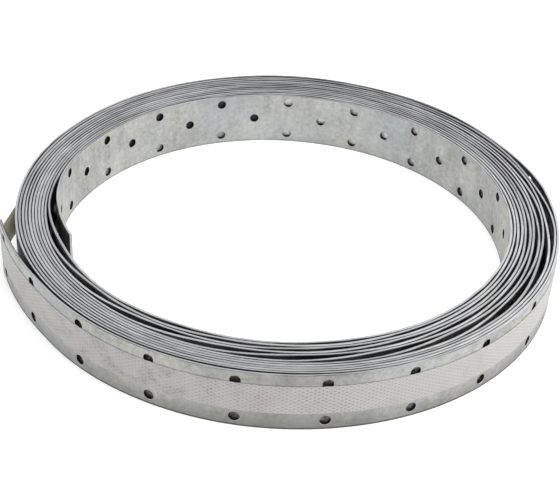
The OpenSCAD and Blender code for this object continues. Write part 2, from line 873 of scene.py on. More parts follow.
def dressed(build: Tree, geometry: Socket, most: Material, rest: Material, mark: str,
            over: float) -> Socket:
    """Gives a geometry its two finishes.

    Args:
        build: the tree.
        geometry: the bare geometry.
        most: the finish of most faces.
        rest: the finish of the marked faces.
        mark: the attribute that marks them.
        over: the value that it is over on them.

    Returns:
        The geometry with its finishes.
    """
    covered = build.through("SetMaterial", geometry, Material=most)
    named = build.add("InputNamedAttribute", {"data_type": "FLOAT"}, Name=mark)
    marked = build.term(named, "Attribute").maths("GREATER_THAN", over)
    return build.through("SetMaterial", covered, Material=rest, Selection=marked)


def grown(tree: bpy.types.NodeTree, name: str, given: dict[str, object]) -> Thing:
    """Runs a tree on an empty object and keeps the result as a plain mesh.

    Args:
        tree: the Geometry Nodes tree.
        name: the name of the new piece.
        given: values for its named inputs.

    Returns:
        The finished piece, at the origin, with no modifier.
    """
    seed = linked(f"{name}_seed", bpy.data.meshes.new(f"{name}_seed"))
    modifier = seed.modifiers.new(name, "NODES")
    modifier.node_group = tree
    sockets = {item.name: item.identifier for item in tree.interface.items_tree
               if item.item_type == "SOCKET" and item.in_out == "INPUT"}
    for label, value in given.items():
        modifier[sockets[label]] = value
    bpy.context.view_layer.update()
    graph = bpy.context.evaluated_depsgraph_get()
    mesh = bpy.data.meshes.new_from_object(seed.evaluated_get(graph), depsgraph=graph)
    mesh.name = name
    seed.modifiers.remove(modifier)
    bpy.data.objects.remove(seed)
    for polygon in mesh.polygons:
        polygon.use_smooth = True
    mesh.set_sharp_from_angle(angle=math.radians(SHARP_OVER))
    return linked(name, mesh)


class Paint(Nodes):
    """Writes one material or shader group out of nodes."""

    MIX_INPUTS = (0, 6, 7)
    MIX_COLOUR = 2

    def attribute(self, name: str) -> Node:
        """Reads a named attribute of the piece."""
        return self.add("Attribute", {"attribute_name": name, "attribute_type": "GEOMETRY"})

    def flat_place(self) -> tuple[Term, Term, Term]:
        """Where a point was on the flat piece: along it, through it and across it."""
        return self.split(self.attribute(FLAT_PLACE).outputs["Vector"])

    def spread(self, value: Number, low: float, high: float, to_low: float = 0.0,
               to_high: float = 1.0) -> Term:
        """A number carried from one range to another, and held inside it.

        Args:
            value: the number.
            low: where the first range starts. It may be the larger end.
            high: where it ends.
            to_low: what low becomes.
            to_high: what high becomes.

        Returns:
            The number in its new range.
        """
        node = self.add("MapRange", {"clamp": True}, Value=value, From_Min=low, From_Max=high,
                        To_Min=to_low, To_Max=to_high)
        return self.term(node, "Result")

    def noise(self, at: object, scale: Number, detail: float, seen: Ramp, rough: float = 0.6,
              seed: Number | None = None) -> Term:
        """One layer of noise, spread from 0 to 1.

        Args:
            at: where it is read.
            scale: its scale.
            detail: its detail.
            seen: which values of it become 0 and 1.
            rough: its roughness.
            seed: its fourth coordinate, if it has one.

        Returns:
            The noise.
        """
        node = self.add("TexNoise", {"noise_dimensions": "3D" if seed is None else "4D"},
                        Vector=at, Scale=scale, Detail=detail, Roughness=rough)
        if seed is not None:
            feed(self.tree, seed, node.inputs["W"])
        return self.spread(self.term(node, "Fac"), *seen)

    def mixed(self, factor: Number, one: object, other: object) -> Socket:
        """Two colours mixed.

        Args:
            factor: how much of the second.
            one: the first colour or output.
            other: the second colour or output.

        Returns:
            The colour's output.
        """
        node = self.add("Mix", {"data_type": "RGBA"})
        for place, value in zip(self.MIX_INPUTS, (factor, one, other)):
            feed(self.tree, value, node.inputs[place])
        return node.outputs[self.MIX_COLOUR]


class Surface(Paint):
    """Writes one material round its shader."""

    def __init__(self, name: str) -> None:
        """Starts a new material.

        Args:
            name: its name.
        """
        self.material = bpy.data.materials.new(name)
        self.material.use_nodes = True
        super().__init__(self.material.node_tree)

    def relief(self, height: Term, strength: float, depth: float) -> Socket:
        """The normals of a fine relief."""
        return self.add("Bump", Height=height, Strength=strength, Distance=depth).outputs["Normal"]

    def wears(self, given: dict[str, object]) -> Material:
        """Finishes the material.

        Args:
            given: what the shader's inputs get, by name.

        Returns:
            The material.
        """
        shader = self.tree.nodes["Principled BSDF"]
        for name, value in given.items():
            feed(self.tree, value, shader.inputs[name])
        return self.material


class Group(Paint):
    """A shader group, built once and put in several materials."""

    NAME = ""

    def __init__(self, numbers: dict[str, float], vectors: Sequence[str] = ()) -> None:
        """Starts the group with its named inputs.

        Args:
            numbers: the plain numbers and their defaults.
            vectors: the places, which come first.
        """
        super().__init__(bpy.data.node_groups.new(self.NAME, "ShaderNodeTree"))
        self.asks("Vector", dict.fromkeys(vectors))
        self.asks("Float", numbers)
        entry = self.tree.nodes.new("NodeGroupInput")
        self.given = [self.term(entry, name) for name in (*vectors, *numbers)]

    def gives(self, values: dict[str, Term]) -> None:
        """Adds the group's outputs, which are all plain numbers.

        Args:
            values: what each of them carries, by name.
        """
        for name in values:
            self.tree.interface.new_socket(name, in_out="OUTPUT", socket_type="NodeSocketFloat")
        leave = self.tree.nodes.new("NodeGroupOutput")
        for name, value in values.items():
            feed(self.tree, value, leave.inputs[name])


class Wear(Group):
    """The mottled look of weathered zinc, which both of the strap's finishes use."""

    NAME = "zinc_mottling"
    SEED = 1.7

    def __init__(self) -> None:
        """Builds the group once."""
        super().__init__({"Along": 0.0, "Cloud Scale": 40.0, "Smudge Scale": 130.0,
                          "Mottle Scale": 420.0, "Seed": 0.0}, ("Place", "Drawn Place"))
        place, drawn, along, cloud, smudge, mottle, seed = self.given
        line = self.vector(along, 0.0, 0.0)
        self.gives({
            "Cloud": self.noise(place, cloud, 4.0, (0.36, 0.64), seed=seed),
            "Smudge": self.noise(drawn, smudge, 4.0, (0.34, 0.66), seed=seed + 1.3),
            "Mottle": self.noise(place, mottle, 3.0, (0.34, 0.66), 0.7, seed + 2.9),
            "Grain": self.noise(place, 2600.0, 2.0, (0.2, 0.8), seed=seed + 7.7),
            "Slow": self.noise(line, 3.5, 1.0, (0.38, 0.62), seed=seed + 5.1),
            "Patch": self.noise(place, cloud * 0.34, 2.0, (0.47, 0.66), seed=seed + 3.1),
            "Specks": self.noise(place, 420.0, 3.0, (0.66, 0.76), seed=seed + 11.3)})

    def placed(self, paint: Paint, place: object, drawn: object, along: Term,
               scales: tuple[float, float, float]) -> Node:
        """Puts the group in a material.

        Args:
            paint: the material.
            place: where a point was on the flat strap.
            drawn: the same, drawn out the way the smudges run.
            along: how far along the strap it was.
            scales: of the clouds, the smudges and the mottling.

        Returns:
            The group node.
        """
        cloud, smudge, mottle = scales
        return paint.called(self.tree, {
            "Place": place, "Drawn Place": drawn, "Along": along, "Cloud Scale": cloud,
            "Smudge Scale": smudge, "Mottle Scale": mottle, "Seed": self.SEED})


class Cover(Group):
    """Painted shade where the strap is out of the light: in the gaps between turns and behind the
    holes.

    The gaps are painted black where they are open and grey where the turns close up. Behind the
    holes the next turn is nearly as light as the rest, but for painted shade in blots, at the foot
    of each hole and over one stretch of the strap; its inward faces there get painted light.
    """

    NAME = "out_of_the_light"
    # The ranges and shares below say where painted shade falls and how dark it is.
    OUTER_BEGINS: Ramp = (-50 * MM, 0.0)
    INNER_ENDS: Ramp = (-15 * MM, 5 * MM)
    NEAR_END: Ramp = (-0.25, -0.19)
    OIL_BEGINS: Ramp = (-25 * MM, 25 * MM)
    OIL_ENDS: Ramp = (5 * MM, -5 * MM)
    OIL_UP: Ramp = (7 * MM, 11 * MM)
    FOOT_OF_HOLE: Ramp = (0.33, 0.25)
    SPOTS_BEGIN: Ramp = (70 * MM, 130 * MM)
    TOP: Ramp = (3.0 * MM, 1.2 * MM)
    LAST_GAP = 1.7
    BEHIND = 0.50
    BEHIND_BLOTS = 0.45
    SPOTS = 0.85
    FOOT = 0.95
    OIL = 0.97
    OIL_AT_FOOT = 0.42
    GAP_SHUT = 0.42
    GAP_SHUT_LESS = 0.27
    GAP_OPEN = 0.97
    RUST = 0.4
    RUST_BLOTS = 0.6

    def __init__(self) -> None:
        """Builds the group once."""
        super().__init__({
            "Along": 0.0, "Through": 0.0, "Across": 0.0, "Inner Turn Ends": 0.7,
            "Outer Turn Starts": 8.5, "Outer Turn Length": 0.87, "Strap Width": 30 * MM,
            "Lip": 0.5 * MM, "Oily From": 0.70, "Oily To": 0.937, "Row Spacing": 10 * MM,
            "Closed": 0.0})
        (along, through, across, inner, outer, round_once, width, lip, shaded_from, shaded_to, row,
         closed) = self.given
        faces_out = through.maths("GREATER_THAN", 0.0)
        faces_in = 1.0 - faces_out
        outer_turn = self.spread(along - outer, *self.OUTER_BEGINS)
        inner_turn = self.spread(inner - along, *self.INNER_ENDS)
        covered = 1.0 - (faces_out * outer_turn + faces_in * inner_turn)
        blots = self.noise(self.vector(along, 0.0, across), 330.0, 2.0, (0.42, 0.60))
        at_top = self.spread(width - across, *self.TOP)

        # The gap just inside the outermost turn is painted as open, so its painted shade is black.
        near_end = self.spread(along - outer, *self.NEAR_END) * (1.0 - outer_turn)
        at_end = self.spread(along - outer - round_once, *self.NEAR_END)
        last_gap = (faces_out * near_end + faces_in * at_end) * self.LAST_GAP
        open_gap = self.noise(self.vector(along, 0.0, 0.0), 15.0, 3.0, (0.44, 0.56))
        open_gap = open_gap.maths("MAXIMUM", last_gap)

        # Painted shade behind the holes: over one stretch of the strap, lighter near the bottom; at
        # the foot of each row of holes; and in spots past that stretch. Outward faces get painted
        # shade in blots.
        past_shaded_stretch = along - shaded_to
        shaded_stretch = (self.spread(past_shaded_stretch, *self.OIL_ENDS)
                * self.spread(along - shaded_from, *self.OIL_BEGINS)
                * self.spread(across, *self.OIL_UP, to_low=self.OIL_AT_FOOT))
        foot_of_hole = self.spread(across / row - whole(across / row), *self.FOOT_OF_HOLE)
        spotted = blots * self.spread(past_shaded_stretch, *self.SPOTS_BEGIN) * self.SPOTS
        settled_dirt_and_shade = (faces_in * (foot_of_hole * self.FOOT).maths("MAXIMUM", spotted)).maths(
            "MAXIMUM", shaded_stretch * self.OIL)
        behind_hole = (blots * faces_out * self.BEHIND_BLOTS + faces_out * self.BEHIND).maths(
            "MAXIMUM", settled_dirt_and_shade)

        # Painted shade in the gaps near the top edge: black where a gap is open, grey where the
        # turns close up.
        shut = self.GAP_SHUT - closed * self.GAP_SHUT_LESS
        in_gap = open_gap * (self.GAP_OPEN - shut) + shut
        dark = behind_hole + (in_gap - behind_hole) * at_top
        edge = across.maths("MINIMUM", width - across)
        # Outputs: painted shade between the turns and behind the holes; the lip next to each slit
        # edge, which the finish paints as shade; which faces are the outermost turn's outside; how
        # open each gap is; how far a rust tint goes into the painted shade on outward faces; and
        # where inward faces behind the holes get painted light.
        self.gives({
            "Covered": covered * dark, "Lip": 1.0 - (edge / lip).maths("MINIMUM", 1.0),
            "Outermost": faces_out * outer_turn, "Open Gap": open_gap,
            "Rusty": faces_out * (1.0 - at_top) * (self.RUST + blots * self.RUST_BLOTS),
            "Fresh": faces_in * covered * (1.0 - at_top)})

    def placed(self, paint: Paint, place: Sequence[Term], turns: "Turns", closed: Term) -> Node:
        """Puts the group in a material.

        Args:
            paint: the material.
            place: where a point was on the flat strap.
            turns: which stretches of the strap are seen.
            closed: how far the turns close up there.

        Returns:
            The group node.
        """
        return paint.called(self.tree, dict(zip(("Along", "Through", "Across"), place)) | {
            "Inner Turn Ends": turns.inner, "Outer Turn Starts": turns.outer,
            "Outer Turn Length": turns.round_once, "Strap Width": turns.width,
            "Row Spacing": turns.width / 3, "Closed": closed})


def leans(along: Number, across: Number) -> tuple[Number, Number]:
    """Measures a place in the weave against its threads, which lean two ways.

    Args:
        along: how many cells along the tape it is.
        across: how many cells across the tape it is.

    Returns:
        For each lean, 1 on the middle of a thread, falling to 0 halfway to the next.
    """
    return tuple((lean - whole(lean) - 0.5).maths("ABSOLUTE") * 2.0
                 for lean in (along + across, along - across))


class ThreadNet(Group):
    """The tape's net of glass threads, which both of its sides use."""

    NAME = "thread_net"
    THREAD: Ramp = (0.62, 0.92)
    CELL: Ramp = (0.55, 0.15)

    def __init__(self) -> None:
        """Builds the group once."""
        super().__init__({"Cells Along": 0.0, "Cells Across": 0.0})
        first, second = leans(*self.given)
        nearest = first.maths("MAXIMUM", second)
        self.gives({"Thread": self.spread(nearest, *self.THREAD),
                    "Cell": self.spread(nearest, *self.CELL)})

    def placed(self, paint: Paint) -> Node:
        """Puts the group in a material, where it follows the cells that the tape was woven in."""
        cells = paint.split(paint.attribute(WEAVE).outputs["Vector"])
        return paint.called(self.tree, dict(zip(("Cells Along", "Cells Across"), cells)))


class Face(Enum):
    """Which of the strap's surfaces a finish is for."""

    ROLLED = "rolled"
    SHEARED = "sheared"


@dataclass(frozen=True)
class Turns:
    """Which stretches of the strap are seen from outside the coil, in metres."""

    inner: float
    outer: float
    round_once: float
    width: float


@dataclass(frozen=True)
class Mottling:
    """How strongly each kind of mark shows, as shares of the way from the dark tone to light."""

    cloud: float
    smudge: float
    mottle: float
    grain: float
    slow: float
    patch: float
    specks: float

    def shade(self, paint: Paint, zinc: Node) -> Term:
        """Adds the marks up round the middle tone.

        Args:
            paint: the material.
            zinc: the shared zinc group in it.

        Returns:
            The tone, from 0 for dark to 1 for light.
        """
        shares = {"Cloud": self.cloud, "Smudge": self.smudge, "Mottle": self.mottle,
                  "Grain": self.grain, "Slow": self.slow}
        total = 0.5 - sum(shares.values()) / 2
        for label, share in shares.items():
            total = paint.term(zinc, label) * share + total
        return held(total, 0.0, 1.0)


@dataclass(frozen=True)
class ZincFinish:
    """Hot-dip zinc on steel: matt, mottled and smudged, with painted light and shade laid over it.
    """

    name: str
    face: Face
    light: Colour
    dark: Colour
    tint: Colour
    # Colour of the real specks, and the colour that painted shade is mixed towards on the front
    # stretch, the low band and the slit edges.
    grime: Colour
    roughness: Ramp
    bump: float
    marks: Mottling
    scales: tuple[float, float, float]
    # The three colours below are painted shade and light: black for painted shade in the gaps,
    # behind the holes, on the lips and foot, beside the gaps and on the hole walls; a rust brown
    # that tints that painted shade on some outward faces; and a near white for painted light on
    # inward faces behind the holes.
    soot: Colour = (0.02, 0.021, 0.024, 1.0)
    rust: Colour = (0.055, 0.036, 0.034, 1.0)
    fresh: Colour = (0.96, 0.96, 0.94, 1.0)
    stretched_through: float = 12.0
    smudged_across: float = 0.22
    edge_across: float = 9.0
    edge_smudged_along: float = 0.05
    metallic: float = 0.85
    relief: float = 0.05 * MM
    # The shares and ranges below place the painted light and shade.
    dull_share: float = 0.44
    fresh_share: float = 0.42
    low_share: float = 0.42
    lip_share: float = 0.5
    dull_front: float = 0.22
    dull_back: float = 0.10
    scale_share: float = 0.7
    rim_drawn_in: float = 0.14 * MM
    rim_share: float = 0.72
    rim_when_shut: float = 0.15
    wall_share: float = 0.97
    dull_from_end: float = 0.187
    dull_reach: Ramp = (0.055, 0.005)
    low_down: Ramp = (10.5 * MM, 3.0 * MM)
    foot: Ramp = (1.3 * MM, 0.4 * MM)
    far_back: Ramp = (0.080, 0.115)
    front_or_back: Ramp = (0.110, 0.120)
    scale_begins: Ramp = (0.50, 0.54)
    scale_ends: Ramp = (0.65, 0.61)
    rim: Ramp = (0.42 * MM, 0.60 * MM)
    wall_depth: float = 0.49 * MM

    def laid_out(self, paint: Paint, place: tuple[Term, Term, Term]) -> tuple[Socket, Socket]:
        """Where the marks are read.

        Args:
            paint: the material.
            place: where a point was on the flat strap.

        Returns:
            The place as it is, and drawn out the way the marks run.
        """
        along, through, across = place
        if self.face is Face.ROLLED:
            deep = through * self.stretched_through
            return (paint.vector(along, deep, across),
                    paint.vector(along, deep, across * self.smudged_across))
        wide = across * self.edge_across
        return (paint.vector(along, through, wide),
                paint.vector(along * self.edge_smudged_along, through, wide))

    def handled(self, paint: Paint, colour: Socket, across: Term, hidden: Node,
                from_end: Term) -> Socket:
        """Lays painted light and shade over the rolled faces, with a rust tint in the painted shade
        behind some holes.

        Args:
            paint: the material.
            colour: the colour before the painted light and shade.
            across: how far across the strap a point is.
            hidden: the group for what is out of the light.
            from_end: how far along the strap its outer end is.

        Returns:
            The colour with its painted light and shade.
        """
        outermost = paint.term(hidden, "Outermost")
        # Painted shade: the outermost turn is darkened over a stretch at the front of the coil,
        # where less light falls.
        shade_by_place = paint.spread((from_end - self.dull_from_end).maths("ABSOLUTE"), *self.dull_reach)
        # Painted shade: the outermost turn darkens towards its bottom.
        low = paint.spread(across, *self.low_down) * outermost
        colour = paint.mixed(shade_by_place * outermost * self.dull_share, colour, self.grime)
        # Painted light: inward faces seen through the holes are lightened towards near white.
        colour = paint.mixed(paint.term(hidden, "Fresh") * self.fresh_share, colour, self.fresh)
        colour = paint.mixed(low * self.low_share, colour, self.grime)
        # Painted shadow: a dark line along the bottom edge, strongest on the outermost turn.
        foot = paint.spread(across, *self.foot) * (outermost * 0.6 + 0.3)
        # Painted shade on the rolled faces next to the slit edges, down in the gaps.
        lip = (paint.term(hidden, "Lip") * self.lip_share).maths("MAXIMUM", foot)
        # Painted shade between the turns and behind the holes, and on the lips and foot: black,
        # tinted rust brown on some outward faces.
        soot = paint.mixed(paint.term(hidden, "Rusty"), self.soot, self.rust)
        return paint.mixed(lip.maths("MAXIMUM", paint.term(hidden, "Covered")), colour, soot)

    def slit(self, paint: Paint, colour: Socket, through: Term, hidden: Node, from_end: Term,
             depth: Term) -> Socket:
        """Lays the dirt over the slit edges and the walls of the holes.

        Args:
            paint: the material.
            colour: the colour before the painted shade.
            through: how far from the middle of the steel a point is.
            hidden: the group for what is out of the light.
            from_end: how far along the strap its outer end is.
            depth: how far behind the coil's middle a point is.

        Returns:
            The colour with its painted shade.
        """
        # Painted shade: the slit edges are darkened at the front and at the far back of the coil,
        # where less light falls on them.
        front_or_back = paint.spread(depth.maths("ABSOLUTE"), *self.front_or_back)
        # Painted shade: one stretch of the outermost turn's slit edge, at the far back right, is
        # darkened.
        dark_edge_stretch = (paint.spread(from_end, *self.scale_begins)
                 * paint.spread(from_end, *self.scale_ends))
        shade_by_place = front_or_back * self.dull_front + paint.spread(
            depth, *self.far_back, 0.0, self.dull_back)
        colour = paint.mixed(dark_edge_stretch * self.scale_share + shade_by_place * (1.0 - dark_edge_stretch), colour, self.grime)
        # Painted shade: the slit edges darken next to the gaps, more where a gap is open and less
        # at the far back.
        gap, deep = paint.term(hidden, "Open Gap"), through.maths("ABSOLUTE")
        shut = paint.spread(depth, *self.far_back, self.rim_when_shut, 0.0)
        rim = paint.spread(deep + gap * self.rim_drawn_in, *self.rim)
        rim = rim * (gap * self.rim_share + shut)
        # Painted shade: the walls of the holes are painted near black, but not their bevels.
        cut = paint.term(paint.attribute(SHEARED), "Fac")
        in_hole = cut.maths("LESS_THAN", (SLIT_EDGE + HOLE_WALL) / 2)
        wall = in_hole * deep.maths("LESS_THAN", self.wall_depth)
        return paint.mixed(rim * (1.0 - in_hole) + wall * self.wall_share, colour, self.soot)

    def material(self, wear: Wear, cover: Cover, turns: Turns) -> Material:
        """Makes the material.

        Args:
            wear: the shared zinc group.
            cover: the shared group for what is out of the light.
            turns: which stretches of the strap are seen.

        Returns:
            The new material.
        """
        paint = Surface(self.name)
        place = paint.flat_place()
        along, through, across = place
        zinc = wear.placed(paint, *self.laid_out(paint, place), along, self.scales)
        shade = self.marks.shade(paint, zinc)
        colour = paint.mixed(shade, self.dark, self.light)
        colour = paint.mixed(paint.term(zinc, "Patch") * self.marks.patch, colour, self.tint)
        colour = paint.mixed(paint.term(zinc, "Specks") * self.marks.specks, colour, self.grime)
        # Painted shade in the gaps is lighter towards the far back, where the turns are taken as
        # closed up.
        _, depth, _ = paint.split(paint.add("TexCoord").outputs["Object"])
        hidden = cover.placed(paint, place, turns, paint.spread(depth, *self.far_back))
        from_end = turns.outer + turns.round_once - along
        if self.face is Face.ROLLED:
            colour = self.handled(paint, colour, across, hidden, from_end)
        else:
            colour = self.slit(paint, colour, through, hidden, from_end, depth)
        least, most = self.roughness
        height = paint.term(zinc, "Grain") * 0.5 + paint.term(zinc, "Mottle") * 0.5
        return paint.wears({
            "Base Color": colour, "Roughness": paint.spread(shade, 0.2, 0.8, most, least),
            "Metallic": self.metallic, "Normal": paint.relief(height, self.bump, self.relief)})


@dataclass(frozen=True)
class TapeFinish:
    """Cross-weave filament tape: film over a net of glass threads, grubby where it was held, with
    painted shade there as well.
    """

    name: str
    film: Colour
    thread: Colour
    hollow: Colour
    stain: Colour
    dirt: Colour
    roughness: float
    streaks: float = 0.0
    thread_share: float = 0.7
    hollow_share: float = 0.8
    stain_share: float = 0.55
    specular: float = 0.5
    rough_noise: float = 0.65
    bump: float = 0.5
    relief: float = 0.06 * MM
    handled_at: float = 0.722
    handled_reach: float = 0.10
    rubbed_before: Ramp = (0.085, 0.02)
    rubbed_up_to: Ramp = (0.56, 0.50)

    def material(self, net: ThreadNet) -> Material:
        """Makes the material.

        Args:
            net: the shared group of threads.

        Returns:
            The new material.
        """
        paint = Surface(self.name)
        along, _, across = paint.flat_place()

        def noise(x: Number, y: float, z: Number, scale: float, detail: float, seen: Ramp) -> Term:
            """One layer of noise on the flat tape."""
            return paint.noise(paint.vector(x, y, z), scale, detail, seen, self.rough_noise)

        threads = net.placed(paint)
        thread, cell = paint.term(threads, "Thread"), paint.term(threads, "Cell")
        blotched = noise(along, 0.0, across, 36.0, 3.0, (0.42, 0.62))
        speckled = noise(along, 0.0, across, 900.0, 3.0, (0.40, 0.68))
        specks = noise(along, 5.0, across, 620.0, 2.0, (0.56, 0.66))
        smudged = noise(along * 0.7, 0.0, across, 150.0, 4.0, (0.47, 0.64))
        reddish = noise(along, 3.0, across, 42.0, 3.0, (0.50, 0.64))
        # The handled stretch, over the front left of the coil, gets real smudges and also painted
        # shade for the weaker light there.
        handled = held(1.0 - (along - self.handled_at).maths("ABSOLUTE") / self.handled_reach,
                       0.0, 1.0)
        colour = paint.mixed(thread * self.thread_share, self.film, self.thread)
        before, after = (self.handled_at - reach for reach in self.rubbed_before)
        rubbed = paint.spread(along, before, after).maths(
            "MAXIMUM", paint.spread(along, *self.rubbed_up_to))
        hollow = cell * (blotched * 0.55 + 0.45) * (1.0 - rubbed * 0.5)
        colour = paint.mixed(hollow * self.hollow_share, colour, self.hollow)
        colour = paint.mixed(reddish * speckled * self.stain_share, colour, self.stain)
        dirt = smudged * (handled * 0.60 + 0.12) + handled * 0.05
        settled_dirt_and_shade = (speckled * 0.5 + 0.5) * (cell * 0.6 + 0.5)
        colour = paint.mixed(dirt * settled_dirt_and_shade, colour, self.dirt)
        colour = paint.mixed(specks * (smudged * handled * 0.8 + 0.04), colour, self.dirt)
        if self.streaks:
            smeared = noise(along * 4.0, 0.0, across * 0.5, 260.0, 3.0, (0.4, 0.65))
            colour = paint.mixed(smeared * self.streaks, colour, self.dirt)
        return paint.wears({
            "Base Color": colour, "Roughness": self.roughness,
            "Specular IOR Level": self.specular,
            "Normal": paint.relief(thread * 0.7 + speckled * 0.15, self.bump, self.relief)})


ROLLED_ZINC = ZincFinish(
    "rolled_zinc", Face.ROLLED, light=(0.535, 0.535, 0.51, 1.0), dark=(0.235, 0.235, 0.225, 1.0),
    tint=(0.36, 0.392, 0.415, 1.0), grime=(0.13, 0.13, 0.122, 1.0), roughness=(0.42, 0.60),
    bump=0.35, marks=Mottling(cloud=0.30, smudge=0.22, mottle=0.34, grain=0.36, slow=0.0,
                              patch=0.45, specks=0.45), scales=(40.0, 150.0, 460.0))
SHEARED_STEEL = ZincFinish(
    "sheared_edge", Face.SHEARED, light=(0.63, 0.634, 0.645, 1.0), dark=(0.22, 0.223, 0.23, 1.0),
    tint=(0.38, 0.39, 0.42, 1.0), grime=(0.15, 0.152, 0.16, 1.0), roughness=(0.38, 0.55),
    bump=0.6, marks=Mottling(cloud=0.15, smudge=0.45, mottle=0.10, grain=0.05, slow=0.40,
                             patch=0.4, specks=0.4), scales=(40.0, 2600.0, 420.0))
TAPE_FILM = TapeFinish(
    "tape_film", film=(0.405, 0.398, 0.392, 1.0), thread=(0.485, 0.478, 0.472, 1.0),
    hollow=(0.20, 0.19, 0.185, 1.0), stain=(0.27, 0.20, 0.195, 1.0), dirt=(0.13, 0.118, 0.112, 1.0),
    roughness=0.50)
# The adhesive side's colours are painted light: set lighter than the adhesive, for the light that
# comes through the translucent tape into its shaded inside.
TAPE_GLUE = TapeFinish(
    "tape_adhesive", film=(0.95, 0.89, 0.71, 1.0), thread=(0.98, 0.94, 0.80, 1.0),
    hollow=(0.42, 0.36, 0.22, 1.0), stain=(0.50, 0.43, 0.28, 1.0), dirt=(0.36, 0.31, 0.20, 1.0),
    roughness=0.5, streaks=0.25)


@dataclass
class CoiledStrap(Wound):
    """The strap: punched flat, then wound into the coil."""

    section: StrapSection
    punching: Punching
    points_per_turn: int = 300
    weld: float = 0.004 * MM

    def tree(self, route: Route, rolled: Material, sheared: Material) -> bpy.types.NodeTree:
        """Builds the tree that lays out the flat strap and winds it.

        Args:
            route: the group that draws the coil's line.
            rolled: the finish of the rolled faces.
            sheared: the finish of the slit edges and the holes.

        Returns:
            The tree.
        """
        build = self.started("punched_and_wound_strap")
        build.asks("Object", dict.fromkeys(("Middle Hole Cell", "Edge Holes Cell", "Plain Stretch",
                                            "Inner End", "Outer End")))
        build.asks("Float", dict.fromkeys(("Hole Pitch", "Half Cell", "Inner Margin",
                                           "Strap Length"), 0.01))
        build.asks("Int", {"Pitches": 1, "Route Points": 1000})
        pitch, half = build.given("Hole Pitch"), build.given("Half Cell")
        margin, pitches = build.given("Inner Margin"), build.given("Pitches")

        def row(name: str, first: Number, step: Number = 0.0, count: Number = 1) -> Socket:
            """Lays one kind of stretch along the strap, again and again.

            Args:
                name: the input that holds the stretch.
                first: station of the first one.
                step: distance from each to the next.
                count: how many there are.

            Returns:
                The stretches, as instances.
            """
            line = build.add("MeshLine", Count=count, Start_Location=build.vector(first, 0.0, 0.0),
                             Offset=build.vector(step, 0.0, 0.0))
            thing = build.add("ObjectInfo", Object=build.given(name))
            return build.add("InstanceOnPoints", Points=line.outputs[0],
                             Instance=thing.outputs["Geometry"]).outputs[0]

        stations = pitches + 1.0
        flat = build.join(
            row("Middle Hole Cell", margin, pitch, stations),
            row("Edge Holes Cell", margin + pitch / 2.0, pitch, stations),
            row("Plain Stretch", margin + half, pitch / 2.0, stations * 2.0 - 1.0),
            row("Inner End", 0.0),
            row("Outer End", margin + (pitches + 0.5) * pitch + half))
        real = build.through("RealizeInstances", flat)
        welded = build.through("MergeByDistance", real, Distance=self.weld)
        line = route.placed(build, 0.0, build.given("Total Turned"), build.given("Route Points"))
        bent = wrapped(build, kept_flat(build, welded), line, build.given("Strap Length"))
        build.leaves(dressed(build, bent, rolled, sheared, SHEARED, over=HOLE_WALL / 2))
        return build.tree

    def made(self, route: Route, rolled: Material, sheared: Material) -> Thing:
        """Makes the wound strap.

        Args:
            route: the group that draws the coil's line.
            rolled: the finish of the rolled faces.
            sheared: the finish of the slit edges and the holes.

        Returns:
            The finished piece.
        """
        cut, hole = self.section, self.punching
        stretch = hole.pitch / 2 - 2 * cut.half_cell
        inner_end = hole.inner_margin - cut.half_cell
        outer_end = hole.outer_margin - cut.half_cell
        cells = {
            "Middle Hole Cell": cut.cell("middle_hole_cell", (False, True, False)),
            "Edge Holes Cell": cut.cell("edge_holes_cell", (True, False, True)),
            "Plain Stretch": cut.plain("plain_stretch", stretch, 2),
            "Inner End": cut.plain("inner_end", inner_end, 1, start_cut=True),
            "Outer End": cut.plain("outer_end", outer_end, 1, end_cut=True)}
        piece = grown(self.tree(route, rolled, sheared), "coiled_strap", {
            **cells, "Hole Pitch": hole.pitch, "Half Cell": cut.half_cell,
            "Inner Margin": hole.inner_margin, "Pitches": hole.pitches,
            "Strap Length": hole.length,
            "Route Points": int(self.points_per_turn * self.total / FULL_TURN)})
        for cell in cells.values():
            bpy.data.objects.remove(cell)
        return piece


